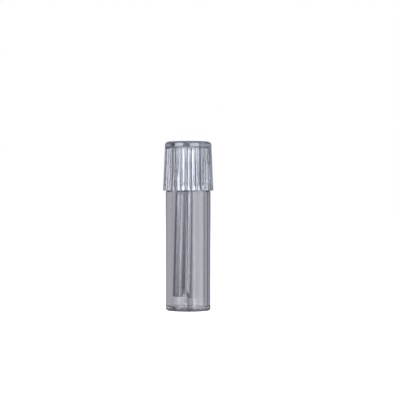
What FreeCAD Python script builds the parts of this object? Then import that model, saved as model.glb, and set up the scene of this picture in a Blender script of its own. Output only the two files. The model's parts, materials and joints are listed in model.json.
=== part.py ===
# Clear refill case for spare compass leads. A round tube closed at the bottom, a ribbed
# push-on cap, and two loose 2 mm leads in the tube. Sizes are in millimetres.
#
# Frame: the origin is the centre of the tube's flat foot, +Z runs up the tube's axis, and
# -Y is the front.
import FreeCAD, Part
import math
import os

Vector = FreeCAD.Vector
UP = Vector(0, 0, 1)

# Tube: plain barrel, a seat that tapers a little inside the cap's skirt, a shoulder, and
# the neck that the cap pushes on to.
BARREL_RADIUS = 4.30
BARREL_TOP = 22.80
SHOULDER_RADIUS = 4.20
SHOULDER_HEIGHT = 24.00
NECK_RADIUS = 3.80
NECK_TOP = 30.70
BORE_RADIUS = 3.27
BORE_FLOOR = 0.85
BORE_FLOOR_FILLET = 0.25
FOOT_CORNER = 0.40
MOULDED_EDGE = 0.12

# Cap: tapered shell with a skirt that covers the seat, and ribs for the fingers.
RIM_HEIGHT = 23.00
CAP_TOP = 32.40
RIM_RADIUS = 4.87
TOP_RADIUS = 4.45
TOP_CORNER = 0.70
ROOF_THICKNESS = 1.00
ROOF_FILLET = 0.40
NECK_CLEARANCE = 0.04
SKIRT_RADIUS = 4.38

# Dimples that the moulding gates leave in the middle of the cap's top and of the foot.
GATE_RADIUS = 0.32
CAP_GATE_DEPTH = 0.60
FOOT_GATE_DEPTH = 0.40

RIB_COUNT = 36
FLUTE_RADIUS = 0.30
FLUTE_DEPTH = 0.15
FLUTE_TOP = 31.20

# Leads: where the middle of each end lies. Both are held a little above the bore's floor,
# and the second one has been sharpened to a bevel.
LEAD_RADIUS = 1.00
LEAD_LENGTH = 26.50
LEAD_EDGE = 0.08
LEAD_1_FOOT = Vector(-1.98, 0, 2.70)
LEAD_1_HEAD = Vector(-1.26, 0, 29.14)
LEAD_2_FOOT = Vector(-0.40, 2.05, 2.11)
LEAD_2_HEAD = Vector(-0.02, 2.05, 28.55)
BEVEL_LENGTH = 2.00
BEVEL_FACING = Vector(-0.85, -0.53, 0)


def cylinder(radius, bottom, top):
    """A solid cylinder on the Z axis, from one height to another."""
    return Part.makeCylinder(radius, top - bottom, Vector(0, 0, bottom))


def circle_edges(shape, radius, height):
    """The shape's round edges on the Z axis that have this radius and height."""
    found = []
    for edge in shape.Edges:
        curve = edge.Curve
        if isinstance(curve, Part.Circle):
            centre = curve.Center
            on_axis = math.hypot(centre.x, centre.y) < 1e-6
            same_height = abs(centre.z - height) < 1e-6
            if on_axis and same_height and abs(curve.Radius - radius) < 1e-6:
                found.append(edge)
    return found


def rounded(shape, size, radius, height):
    """The shape with its round edge at this radius and height filleted."""
    return shape.makeFillet(size, circle_edges(shape, radius, height))


def make_tube():
    """Barrel, seat, shoulder and neck, with the bore above and the gate dimple below."""
    outside = cylinder(BARREL_RADIUS, 0, BARREL_TOP)
    seat_height = SHOULDER_HEIGHT - BARREL_TOP
    seat = Part.makeCone(BARREL_RADIUS, SHOULDER_RADIUS, seat_height, Vector(0, 0, BARREL_TOP))
    outside = outside.fuse(seat)
    outside = outside.fuse(cylinder(NECK_RADIUS, SHOULDER_HEIGHT, NECK_TOP))
    outside = rounded(outside, FOOT_CORNER, BARREL_RADIUS, 0)
    outside = rounded(outside, MOULDED_EDGE, NECK_RADIUS, NECK_TOP)
    bore = cylinder(BORE_RADIUS, BORE_FLOOR, NECK_TOP + 1)
    bore = rounded(bore, BORE_FLOOR_FILLET, BORE_RADIUS, BORE_FLOOR)
    gate = cylinder(GATE_RADIUS, -1, FOOT_GATE_DEPTH)
    return outside.cut(bore).cut(gate)


def cap_radius(height):
    """The tapered cap's outer radius at a height."""
    share = (height - RIM_HEIGHT) / (CAP_TOP - RIM_HEIGHT)
    return RIM_RADIUS + share * (TOP_RADIUS - RIM_RADIUS)


def make_flute(turn):
    """One rounded groove that follows the cap's taper, at an angle round the cap."""
    bottom = RIM_HEIGHT - 1
    stand_off = FLUTE_RADIUS - FLUTE_DEPTH
    start = Vector(cap_radius(bottom) + stand_off, 0, bottom)
    end = Vector(cap_radius(FLUTE_TOP) + stand_off, 0, FLUTE_TOP)
    groove = Part.makeCylinder(FLUTE_RADIUS, (end - start).Length, start, end - start)
    groove = groove.fuse(Part.makeSphere(FLUTE_RADIUS, end)).removeSplitter()
    groove.rotate(Vector(0, 0, 0), UP, turn)
    return groove


def make_cap():
    """Tapered, ribbed shell, hollowed for the neck and, at the skirt, for the seat."""
    height = CAP_TOP - RIM_HEIGHT
    shell = Part.makeCone(RIM_RADIUS, TOP_RADIUS, height, Vector(0, 0, RIM_HEIGHT))
    shell = rounded(shell, TOP_CORNER, TOP_RADIUS, CAP_TOP)
    socket_radius = NECK_RADIUS + NECK_CLEARANCE
    roof = CAP_TOP - ROOF_THICKNESS
    socket = cylinder(socket_radius, RIM_HEIGHT - 1, roof)
    socket = rounded(socket, ROOF_FILLET, socket_radius, roof)
    skirt = cylinder(SKIRT_RADIUS, RIM_HEIGHT - 1, SHOULDER_HEIGHT)
    gate = cylinder(GATE_RADIUS, CAP_TOP - CAP_GATE_DEPTH, CAP_TOP + 1)
    shell = shell.cut(socket).cut(skirt).cut(gate)
    pitch = 360.0 / RIB_COUNT
    flutes = [make_flute(pitch * number) for number in range(RIB_COUNT)]
    return shell.cut(flutes)


def make_lead(foot, head):
    """One lead along the line from foot to head, its end edges slightly broken."""
    lead = Part.makeCylinder(LEAD_RADIUS, LEAD_LENGTH)
    ends = circle_edges(lead, LEAD_RADIUS, 0) + circle_edges(lead, LEAD_RADIUS, LEAD_LENGTH)
    lead = lead.makeFillet(LEAD_EDGE, ends)
    lead.Placement = FreeCAD.Placement(foot, FreeCAD.Rotation(UP, head - foot))
    return lead


def make_sharpened_lead(foot, head):
    """A lead whose foot is cut to a chisel, with the facet towards BEVEL_FACING."""
    lead = make_lead(foot, head)
    along = (head - foot).normalize()
    facing = Vector(BEVEL_FACING).normalize()
    tip = foot - facing * LEAD_RADIUS
    facet_end = foot + facing * LEAD_RADIUS + along * BEVEL_LENGTH
    slope = (facet_end - tip).normalize()
    side = along.cross(facing).normalize()
    outward = side.cross(slope)
    if outward.dot(facing) < 0:
        outward = -outward
    reach = 3 * LEAD_RADIUS
    corners = [tip - side * reach - slope * reach, tip + side * reach - slope * reach,
               tip + side * reach + slope * 2 * reach, tip - side * reach + slope * 2 * reach]
    facet = Part.Face(Part.makePolygon(corners + corners[:1]))
    return lead.cut(facet.extrude(outward * 2 * reach))


def save(shape, node):
    """Write one node's STEP file, after checking that it is one closed solid."""
    if not shape.isValid() or len(shape.Solids) != 1:
        raise ValueError(node + " is not one valid solid")
    shape.Solids[0].exportStep("parts/" + node + ".step")


os.makedirs("parts", exist_ok=True)
save(make_tube(), "tube")
save(make_cap(), "cap")
save(make_lead(LEAD_1_FOOT, LEAD_1_HEAD), "lead_1")
save(make_sharpened_lead(LEAD_2_FOOT, LEAD_2_HEAD), "lead_2")
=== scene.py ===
# Clear refill case with two spare compass leads: the looks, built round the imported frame.
import json
import math

import bmesh
import bpy
from mathutils import Matrix, Vector


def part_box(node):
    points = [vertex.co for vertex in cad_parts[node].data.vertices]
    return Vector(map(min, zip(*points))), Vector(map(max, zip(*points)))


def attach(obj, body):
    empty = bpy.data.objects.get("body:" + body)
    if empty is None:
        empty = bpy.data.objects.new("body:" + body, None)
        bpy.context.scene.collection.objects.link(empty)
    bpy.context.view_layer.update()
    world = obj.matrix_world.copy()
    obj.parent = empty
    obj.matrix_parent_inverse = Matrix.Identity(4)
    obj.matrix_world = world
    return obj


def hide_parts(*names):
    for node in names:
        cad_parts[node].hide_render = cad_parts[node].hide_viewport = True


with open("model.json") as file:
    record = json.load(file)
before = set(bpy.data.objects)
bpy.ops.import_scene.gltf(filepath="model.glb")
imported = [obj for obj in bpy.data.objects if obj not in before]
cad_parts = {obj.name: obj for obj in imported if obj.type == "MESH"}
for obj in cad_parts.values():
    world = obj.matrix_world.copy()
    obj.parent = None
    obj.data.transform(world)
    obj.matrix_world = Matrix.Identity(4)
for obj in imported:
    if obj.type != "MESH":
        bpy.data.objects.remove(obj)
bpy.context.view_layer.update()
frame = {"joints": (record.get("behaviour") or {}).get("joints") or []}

MM = 0.001

# Tube, beyond what its CAD box gives.
BORE_RADIUS = 3.27 * MM
BORE_FLOOR = 0.85 * MM
BORE_FLOOR_FILLET = 0.25 * MM
FOOT_CORNER = 0.40 * MM
NECK_RADIUS = 3.80 * MM
SEAT_RADIUS = 4.18 * MM
SEAT_BELOW_RIM = 0.24 * MM
SEAT_STEP = 0.15 * MM
SHOULDER_ABOVE_RIM = 1.00 * MM
EDGE = 0.12 * MM

# Cap, beyond what its CAD box gives.
CAP_TOP_RADIUS = 4.45 * MM
CAP_CORNER = 0.70 * MM
ROOF = 1.00 * MM
ROOF_FILLET = 0.40 * MM
SOCKET_RADIUS = 3.84 * MM
SKIRT_RADIUS = 4.38 * MM
GATE_RADIUS = 0.32 * MM
CAP_GATE_DEPTH = 0.60 * MM
FOOT_GATE_DEPTH = 0.40 * MM
RIBS = 36
FLUTE_DEPTH = 0.20 * MM
PLAIN_BAND = 1.10 * MM
FLUTE_RUN_OUT = 0.35 * MM

# Leads.
LEAD_RADIUS = 1.00 * MM
LEAD_LENGTH = 26.50 * MM
LEAD_EDGE = 0.08 * MM
BEVEL_LENGTH = 2.00 * MM
BEVEL_FACING = Vector((-0.85, -0.53, 0.0))

# How finely round shapes are cut, and how sharp a bend has to be to show as an edge.
ROUND_STEPS = 288
STEPS_PER_RIB = 16
STEPS_ALONG_RIB = 12
STEPS_AT_RIB_END = 8
LEAD_STEPS = 96
LEAD_EDGE_STEPS = 4
SHARP = math.radians(30)

# Materials. A tint goes from pale to deep along the flow lines, and a dye works through the
# thickness, with its density per metre.
PLASTIC_IOR = 1.57
PLASTIC_ROUGHNESS = (0.012, 0.06)
TUBE_TINT = ((0.99, 0.99, 0.99), (0.965, 0.965, 0.97))
TUBE_DYE = ((0.25, 0.25, 0.28), 82.0)
TUBE_UNEVENNESS = 0.25
CAP_TINT = ((0.97, 0.99, 1.0), (0.935, 0.965, 0.98))
CAP_DYE = ((0.33, 0.42, 0.46), 75.0)
CAP_UNEVENNESS = 0.04
# The gate dimples' dark colour is painted shade in those small recesses; only their roughness is
# the torn plastic's own.
GATE_PAINTED_SHADE = (0.12, 0.12, 0.13)
SCAR_ROUGHNESS = 0.45
GRAPHITE_TONES = ((0.17, 0.17, 0.18), (0.29, 0.29, 0.30))
GRAPHITE_ROUGHNESS = (0.20, 0.27)
GRAPHITE_UNEVENNESS = 0.5
BUMP_HEIGHT = 0.004 * MM

# Noise: how much it is squeezed along Z, and its scale per metre. Its levels are used either
# over their whole spread, or only near the top for marks that are few.
FLOW_LINES = (0.06, 1500.0)
SCUFFS = (0.3, 5200.0)
DRAWN_LINES = (0.01, 2600.0)
WEAR = (0.15, 900.0)
NOISE_DETAIL = 3.0
EVERYWHERE = (0.3, 0.7)
HERE_AND_THERE = (0.55, 0.75)
SCAR_REACH = (1.05 * GATE_RADIUS, 1.25 * GATE_RADIUS)

# The studio. Pale cards and dark flags stand round the object at table height. Each has its
# middle in degrees, from straight behind the object to the right, its width in degrees, and
# its brightness. Between them the walls show.
WALL_LEVEL = 0.43
CARDS = [
    (0, 14, 0.22),
    (31, 14, 0.05),
    (60, 20, 0.35),
    (118, 60, 1.85),
    (146, 16, 3.6),
    (168, 20, 0.90),
    (180, 8, 0.05),
    (-167, 14, 2.2),
    (-152, 14, 0.80),
    (-132, 24, 1.9),
    (-110, 20, 0.70),
    (-87, 26, 0.20),
]
CARD_SOFTNESS = 14

# Above and below the cards: how bright, and between which two heights in degrees each fades.
ROOM_LEVEL = 0.16
ROOM_FADE = (2.0, 5.0)
CEILING_LEVEL = 0.60
CEILING_FADE = (45, 60)
BOUNCE_LEVEL = 0.40
BOUNCE_FADE = (-13.5, -11)

# Soft boxes: name, middle in degrees from straight in front of the object to the right, and
# width in degrees. Their distance and the floor's reach are in metres, and all light is a
# little blue.
SOFT_BOXES = [("soft_left", -47, 44), ("soft_right", 31, 46)]
COOL_LIGHT = (1.0, 1.0, 1.11)
BOX_DISTANCE = 1.3
BOX_RADIANCE = 6.2
BOX_RISE = 24.5
BOX_HIGH = 40
FLOOR_REACH = 1.5

# The camera is level and square on. The middle of its view lies a little below the cap's rim
# and to the right of the axis.
CAMERA_DISTANCE = 260 * MM
CAMERA_RIGHT = 2.27 * MM
CAMERA_HEIGHT = 21.2 * MM
FIELD = 76.9 * MM
SENSOR = 36


def rounded(corners, steps=8):
    """Turns (radius, height, fillet) corners into an outline with round corners."""
    outline = []
    for index, (radius, height, fillet) in enumerate(corners):
        here = Vector((radius, height))
        if not fillet:
            outline.append(here)
            continue
        before = (Vector(corners[index - 1][:2]) - here).normalized()
        after = (Vector(corners[index + 1][:2]) - here).normalized()
        half_turn = before.angle(after) / 2
        centre = here + (before + after).normalized() * fillet / math.sin(half_turn)
        reach = fillet / math.tan(half_turn)
        start = here + before * reach - centre
        end = here + after * reach - centre
        sweep = start.angle_signed(end)
        for step in range(steps + 1):
            turn = Matrix.Rotation(-sweep * step / steps, 2)
            outline.append(centre + turn @ start)
    return outline


def lathe(name, outline, steps, radius_at=None):
    """A closed solid of revolution. The outline runs from the axis back to the axis."""
    bm = bmesh.new()
    first = bm.verts.new((0, 0, outline[0].y))
    last = bm.verts.new((0, 0, outline[-1].y))
    rings = []
    for point in outline[1:-1]:
        ring = []
        for step in range(steps):
            angle = 2 * math.pi * step / steps
            radius = radius_at(point, angle) if radius_at else point.x
            ring.append(bm.verts.new((radius * math.cos(angle), radius * math.sin(angle), point.y)))
        rings.append(ring)
    for step in range(steps):
        after = (step + 1) % steps
        bm.faces.new((first, rings[0][after], rings[0][step]))
        for lower, upper in zip(rings, rings[1:]):
            bm.faces.new((lower[step], lower[after], upper[after], upper[step]))
        bm.faces.new((last, rings[-1][step], rings[-1][after]))
    bmesh.ops.recalc_face_normals(bm, faces=bm.faces)
    return as_piece(name, bm)


def as_piece(name, bm):
    """Makes an object of a bmesh, smooth except at sharp corners."""
    mesh = bpy.data.meshes.new(name)
    bm.to_mesh(mesh)
    bm.free()
    mesh.shade_smooth()
    mesh.set_sharp_from_angle(angle=SHARP)
    piece = bpy.data.objects.new(name, mesh)
    bpy.context.scene.collection.objects.link(piece)
    return piece


def make_tube():
    """Barrel, the seat under the cap's skirt, shoulder, neck and bore, and the foot's dimple."""
    low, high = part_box("tube")
    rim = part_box("cap")[0].z
    barrel = high.x
    seat = rim - SEAT_BELOW_RIM
    shoulder = rim + SHOULDER_ABOVE_RIM
    corners = [
        (0, low.z + FOOT_GATE_DEPTH, 0),
        (GATE_RADIUS, low.z + FOOT_GATE_DEPTH, EDGE / 2),
        (GATE_RADIUS, low.z, EDGE / 4),
        (barrel, low.z, FOOT_CORNER),
        (barrel, seat, EDGE / 8),
        (SEAT_RADIUS, seat + SEAT_STEP, EDGE / 8),
        (SEAT_RADIUS, shoulder, EDGE),
        (NECK_RADIUS, shoulder, EDGE),
        (NECK_RADIUS, high.z, EDGE),
        (BORE_RADIUS, high.z, EDGE),
        (BORE_RADIUS, BORE_FLOOR, BORE_FLOOR_FILLET),
        (0, BORE_FLOOR, 0),
    ]
    return lathe("tube_shell", rounded(corners), ROUND_STEPS)


def make_cap():
    """Tapered cap, ribbed between sharp flutes that run out below its plain top band."""
    low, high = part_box("cap")
    rim_radius = high.x
    roof = high.z - ROOF
    shoulder = low.z + SHOULDER_ABOVE_RIM
    flute_top = high.z - PLAIN_BAND
    taper = (rim_radius - CAP_TOP_RADIUS) / (high.z - low.z)

    def wall(height):
        return rim_radius - taper * (height - low.z)

    straight = flute_top - FLUTE_RUN_OUT - low.z
    heights = [low.z + straight * n / STEPS_ALONG_RIB for n in range(STEPS_ALONG_RIB + 1)]
    heights += [flute_top - FLUTE_RUN_OUT * (1 - n / STEPS_AT_RIB_END)
                for n in range(1, STEPS_AT_RIB_END + 1)]
    outside = [(wall(height), height, 0) for height in heights]
    corners = [
        (0, roof, 0),
        (SOCKET_RADIUS, roof, ROOF_FILLET),
        (SOCKET_RADIUS, shoulder, EDGE / 2),
        (SKIRT_RADIUS, shoulder, EDGE / 2),
        (SKIRT_RADIUS, low.z, EDGE / 2),
        *outside,
        (CAP_TOP_RADIUS, high.z, CAP_CORNER),
        (GATE_RADIUS, high.z, EDGE / 2),
        (GATE_RADIUS, high.z - CAP_GATE_DEPTH, EDGE / 2),
        (0, high.z - CAP_GATE_DEPTH, 0),
    ]

    def radius_at(point, angle):
        if point.x < SKIRT_RADIUS + EDGE / 2 or point.y > flute_top:
            return point.x
        fade = min(1.0, (flute_top - point.y) / FLUTE_RUN_OUT)
        wave = 1 - abs(math.sin(angle * RIBS / 2))
        return point.x - FLUTE_DEPTH * wave * math.sqrt(fade * (2 - fade))

    return lathe("cap_shell", rounded(corners), RIBS * STEPS_PER_RIB, radius_at)


def lead_axis(node, joint):
    """Foot and direction of a lead, from its CAD box and the axis that it slides along."""
    low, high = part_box(node)
    along = Vector(joint["axis"]).normalized()
    head = Vector()
    for i in range(3):
        spread = LEAD_RADIUS * math.sqrt(1 - along[i] ** 2)
        head[i] = high[i] - spread if along[i] > 0 else low[i] + spread
    return head - along * LEAD_LENGTH, along


def cut_bevel(bm, foot, along):
    """Grinds a lead's foot to a chisel, with the facet towards BEVEL_FACING."""
    facing = BEVEL_FACING.normalized()
    tip = foot - facing * LEAD_RADIUS
    rise = (facing * 2 * LEAD_RADIUS + along * BEVEL_LENGTH).normalized()
    side = along.cross(facing).normalized()
    outward = side.cross(rise)
    outward *= 1 if outward.dot(facing) > 0 else -1
    everything = bm.verts[:] + bm.edges[:] + bm.faces[:]
    cut = bmesh.ops.bisect_plane(bm, geom=everything, plane_co=tip, plane_no=outward,
                                 clear_outer=True)
    rim = [item for item in cut["geom_cut"] if isinstance(item, bmesh.types.BMEdge)]
    bmesh.ops.contextual_create(bm, geom=rim)
    bmesh.ops.recalc_face_normals(bm, faces=bm.faces)


def make_lead(name, foot, along, bevelled):
    """A lead with broken edges, and a facet ground on its foot if it is bevelled."""
    corners = [
        (0, 0, 0),
        (LEAD_RADIUS, 0, LEAD_EDGE),
        (LEAD_RADIUS, LEAD_LENGTH, LEAD_EDGE),
        (0, LEAD_LENGTH, 0),
    ]
    piece = lathe(name, rounded(corners, LEAD_EDGE_STEPS), LEAD_STEPS)
    lean = Vector((0, 0, 1)).rotation_difference(along)
    place = Matrix.Translation(foot) @ lean.to_matrix().to_4x4()
    bm = bmesh.new()
    bm.from_mesh(piece.data)
    bmesh.ops.transform(bm, matrix=place, verts=bm.verts)
    if bevelled:
        cut_bevel(bm, foot, along)
    bm.to_mesh(piece.data)
    bm.free()
    piece.data.set_sharp_from_angle(angle=SHARP)
    return piece


class Nodes:
    """Short calls for building a node tree."""

    def __init__(self, tree):
        self.tree = tree
        self.shader = None
        self.output = None
        tree.nodes.clear()

    def add(self, kind, **values):
        node = self.tree.nodes.new(kind)
        for key, value in values.items():
            setattr(node, key, value)
        return node

    def join(self, source, target):
        self.tree.links.new(source, target)

    def math(self, operation, a, b=None):
        node = self.add("ShaderNodeMath", operation=operation)
        for socket, value in zip(node.inputs, (a, b)):
            if value is None:
                continue
            if isinstance(value, (int, float)):
                socket.default_value = value
            else:
                self.join(value, socket)
        return node.outputs[0]

    def ramp(self, value, from_low, from_high, to_low, to_high):
        """Eases from one level to another while the value goes from its low to its high."""
        node = self.add("ShaderNodeMapRange", interpolation_type="SMOOTHSTEP")
        self.join(value, node.inputs["Value"])
        node.inputs["From Min"].default_value = from_low
        node.inputs["From Max"].default_value = from_high
        node.inputs["To Min"].default_value = to_low
        node.inputs["To Max"].default_value = to_high
        return node.outputs["Result"]

    def mix(self, share, first, second):
        """Blends two colours, each of which is either fixed or another node's output."""
        node = self.add("ShaderNodeMix", data_type="RGBA")
        self.join(share, node.inputs["Factor"])
        for key, colour in (("A", first), ("B", second)):
            if isinstance(colour, tuple):
                node.inputs[key].default_value = (*colour, 1)
            else:
                self.join(colour, node.inputs[key])
        return node.outputs["Result"]

    def bump(self, height, strength):
        """Lets a height disturb the surface of the material's shader."""
        node = self.add("ShaderNodeBump")
        node.inputs["Strength"].default_value = strength
        node.inputs["Distance"].default_value = BUMP_HEIGHT
        self.join(height, node.inputs["Height"])
        self.join(node.outputs["Normal"], self.shader.inputs["Normal"])


def new_material(name):
    """A material and its nodes, among them one Principled shader joined to its output."""
    material = bpy.data.materials.new(name)
    material.use_nodes = True
    nodes = Nodes(material.node_tree)
    nodes.output = nodes.add("ShaderNodeOutputMaterial")
    nodes.shader = nodes.add("ShaderNodeBsdfPrincipled")
    nodes.join(nodes.shader.outputs["BSDF"], nodes.output.inputs["Surface"])
    return material, nodes


def noise(nodes, squeeze, scale):
    """Noise in the object's own metres. The smaller its squeeze, the longer its streaks in Z."""
    where = nodes.add("ShaderNodeTexCoord")
    mapping = nodes.add("ShaderNodeMapping")
    mapping.inputs["Scale"].default_value = (1.0, 1.0, squeeze)
    nodes.join(where.outputs["Object"], mapping.inputs["Vector"])
    texture = nodes.add("ShaderNodeTexNoise")
    texture.inputs["Scale"].default_value = scale
    texture.inputs["Detail"].default_value = NOISE_DETAIL
    nodes.join(mapping.outputs["Vector"], texture.inputs["Vector"])
    return texture.outputs["Fac"]


def gate_scar_and_shade(nodes, low, high):
    """1 on the gate dimple, which lies on the axis between two heights. There the torn plastic is
    rough, and its dark colour is painted shade.
    """
    where = nodes.add("ShaderNodeTexCoord")
    parts = nodes.add("ShaderNodeSeparateXYZ")
    nodes.join(where.outputs["Object"], parts.inputs[0])
    x, y, z = parts.outputs
    square = nodes.math("ADD", nodes.math("MULTIPLY", x, x), nodes.math("MULTIPLY", y, y))
    reach = nodes.math("SQRT", square)
    inside = nodes.ramp(reach, *SCAR_REACH, 1.0, 0.0)
    above_low = nodes.ramp(z, low - EDGE, low, 0.0, 1.0)
    below_high = nodes.ramp(z, high, high + EDGE, 1.0, 0.0)
    return nodes.math("MULTIPLY", inside, nodes.math("MULTIPLY", above_low, below_high))


def clear_plastic(name, tint, dye, unevenness, gate):
    """Clear moulded styrene: dyed through, with flow lines, handling scuffs, and a rough gate scar
    whose dark colour is painted shade.
    """
    material, nodes = new_material(name)
    inputs = nodes.shader.inputs
    inputs["IOR"].default_value = PLASTIC_IOR
    inputs["Transmission Weight"].default_value = 1.0
    colour, density = dye
    body = nodes.add("ShaderNodeVolumeAbsorption")
    body.inputs["Color"].default_value = (*colour, 1)
    body.inputs["Density"].default_value = density
    nodes.join(body.outputs["Volume"], nodes.output.inputs["Volume"])

    flow = noise(nodes, *FLOW_LINES)
    tinted = nodes.mix(nodes.ramp(flow, *EVERYWHERE, 0.0, 1.0), *tint)
    scar_and_shade = gate_scar_and_shade(nodes, *gate)
    # Painted shade: the gate dimple's surface is tinted dark.
    nodes.join(nodes.mix(scar_and_shade, tinted, GATE_PAINTED_SHADE), inputs["Base Color"])

    scuffed = nodes.ramp(noise(nodes, *SCUFFS), *HERE_AND_THERE, *PLASTIC_ROUGHNESS)
    torn = nodes.math("MULTIPLY", scar_and_shade, SCAR_ROUGHNESS)
    nodes.join(nodes.math("ADD", scuffed, torn), inputs["Roughness"])
    nodes.bump(flow, unevenness)
    return material


def graphite():
    """Fired graphite: dark, with a satin metallic sheen and fine lines from extrusion."""
    material, nodes = new_material("graphite")
    inputs = nodes.shader.inputs
    inputs["Metallic"].default_value = 1.0
    drawn = noise(nodes, *DRAWN_LINES)
    tone = nodes.mix(nodes.ramp(drawn, *EVERYWHERE, 0.0, 1.0), *GRAPHITE_TONES)
    nodes.join(tone, inputs["Base Color"])
    worn = nodes.ramp(noise(nodes, *WEAR), *EVERYWHERE, *GRAPHITE_ROUGHNESS)
    nodes.join(worn, inputs["Roughness"])
    nodes.bump(drawn, GRAPHITE_UNEVENNESS)
    return material


def place_pieces():
    """Builds every piece, and says what it rides on, replaces and is made of."""
    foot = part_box("tube")[0].z
    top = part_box("cap")[1].z
    tube_plastic = clear_plastic("tube_plastic", TUBE_TINT, TUBE_DYE, TUBE_UNEVENNESS,
                                 (foot, foot + FOOT_GATE_DEPTH))
    cap_plastic = clear_plastic("cap_plastic", CAP_TINT, CAP_DYE, CAP_UNEVENNESS,
                                (top - CAP_GATE_DEPTH, top))
    lead_graphite = graphite()
    joints = {joint["child"]: joint for joint in frame["joints"]}
    pieces = [
        (make_tube(), "tube", "clear_tube", tube_plastic),
        (make_cap(), "cap", "clear_cap", cap_plastic),
    ]
    for node, bevelled in (("lead_1", False), ("lead_2", True)):
        foot, along = lead_axis(node, joints[node])
        lead = make_lead(node + "_stick", foot, along, bevelled)
        pieces.append((lead, node, "graphite", lead_graphite))
    for piece, node, slot, material in pieces:
        piece.data.materials.append(material)
        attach(piece, node)
        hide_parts(node)


def make_floor():
    """A plain white table top, bright enough by itself to run into the background."""
    bm = bmesh.new()
    for x, y in ((-1, -1), (1, -1), (1, 1), (-1, 1)):
        bm.verts.new((x * FLOOR_REACH, y * FLOOR_REACH, 0))
    bm.faces.new(bm.verts)
    floor = as_piece("floor", bm)
    material, nodes = new_material("floor_white")
    inputs = nodes.shader.inputs
    inputs["Base Color"].default_value = (0.9, 0.9, 0.9, 1)
    inputs["Roughness"].default_value = 0.8
    inputs["Specular IOR Level"].default_value = 0.0
    inputs["Emission Color"].default_value = (1, 1, 1, 1)
    inputs["Emission Strength"].default_value = 0.7
    floor.data.materials.append(material)
    floor.visible_transmission = False
    floor.visible_glossy = False
    floor.visible_shadow = False


def softbox(name, turn, wide):
    """A strong light facing the object: degrees from straight in front to the right, and width."""
    data = bpy.data.lights.new(name, "AREA")
    data.shape = "RECTANGLE"
    data.size = 2 * BOX_DISTANCE * math.tan(math.radians(wide / 2))
    data.size_y = 2 * BOX_DISTANCE * math.tan(math.radians(BOX_HIGH / 2))
    data.color = COOL_LIGHT
    data.energy = BOX_RADIANCE * math.pi * data.size * data.size_y
    light = bpy.data.objects.new(name, data)
    turn, rise = math.radians(turn), math.radians(BOX_RISE)
    level = math.cos(rise)
    away = Vector((math.sin(turn) * level, -math.cos(turn) * level, math.sin(rise)))
    light.location = away * BOX_DISTANCE
    light.rotation_euler = away.to_track_quat("Z", "Y").to_euler()
    light.visible_camera = False
    bpy.context.scene.collection.objects.link(light)


def card_shares(nodes, turn):
    """For each card, how much of it lies in a direction, with its brightness."""
    shares = []
    for middle, width, brightness in CARDS:
        apart = nodes.math("ABSOLUTE", nodes.math("SUBTRACT", turn, math.radians(middle)))
        apart = nodes.math("MINIMUM", apart, nodes.math("SUBTRACT", 2 * math.pi, apart))
        inner = math.radians((width - CARD_SOFTNESS) / 2)
        outer = math.radians((width + CARD_SOFTNESS) / 2)
        shares.append((nodes.ramp(apart, inner, outer, 1.0, 0.0), brightness))
    return shares


def height_share(nodes, rise, fade, to_low, to_high):
    """A share that changes between two heights, given in degrees."""
    start, end = (math.sin(math.radians(height)) for height in fade)
    return nodes.ramp(rise, start, end, to_low, to_high)


def make_room():
    """The world: cards and walls round the object, a ceiling, a table, and a white backdrop."""
    world = bpy.data.worlds.new("studio")
    bpy.context.scene.world = world
    world.use_nodes = True
    nodes = Nodes(world.node_tree)
    where = nodes.add("ShaderNodeTexCoord")
    parts = nodes.add("ShaderNodeSeparateXYZ")
    nodes.join(where.outputs["Generated"], parts.inputs[0])
    turn = nodes.math("ARCTAN2", parts.outputs["X"], parts.outputs["Y"])
    rise = parts.outputs["Z"]
    backdrop = nodes.add("ShaderNodeLightPath").outputs["Is Camera Ray"]
    layers = card_shares(nodes, turn) + [
        (height_share(nodes, rise, ROOM_FADE, 0.0, 1.0), ROOM_LEVEL),
        (height_share(nodes, rise, CEILING_FADE, 0.0, 1.0), CEILING_LEVEL),
        (height_share(nodes, rise, BOUNCE_FADE, 1.0, 0.0), BOUNCE_LEVEL),
        (backdrop, 1.0),
    ]
    level = WALL_LEVEL
    for share, other in layers:
        gap = nodes.math("SUBTRACT", other, level)
        level = nodes.math("ADD", level, nodes.math("MULTIPLY", gap, share))
    tone = nodes.add("ShaderNodeCombineXYZ")
    for name, strength in zip("XYZ", COOL_LIGHT):
        nodes.join(nodes.math("MULTIPLY", level, strength), tone.inputs[name])
    background = nodes.add("ShaderNodeBackground")
    nodes.join(tone.outputs[0], background.inputs["Color"])
    out = nodes.add("ShaderNodeOutputWorld")
    nodes.join(background.outputs[0], out.inputs["Surface"])


def make_camera():
    """The photograph's view, level and square on to the case."""
    data = bpy.data.cameras.new("camera")
    data.sensor_width = SENSOR
    data.lens = SENSOR * CAMERA_DISTANCE / FIELD
    data.clip_start = 0.01
    data.clip_end = 10
    camera = bpy.data.objects.new("camera", data)
    camera.location = (CAMERA_RIGHT, -CAMERA_DISTANCE, CAMERA_HEIGHT)
    camera.rotation_euler = (math.radians(90), 0, 0)
    bpy.context.scene.collection.objects.link(camera)
    bpy.context.scene.camera = camera


def set_up_look():
    """Enough bounces for light to cross cap, neck and bore, and plain colours."""
    scene = bpy.context.scene
    scene.cycles.max_bounces = 32
    scene.cycles.transmission_bounces = 32
    scene.cycles.glossy_bounces = 12
    scene.view_settings.view_transform = "Standard"


place_pieces()
make_floor()
make_room()
for soft_box in SOFT_BOXES:
    softbox(*soft_box)
make_camera()
set_up_look()
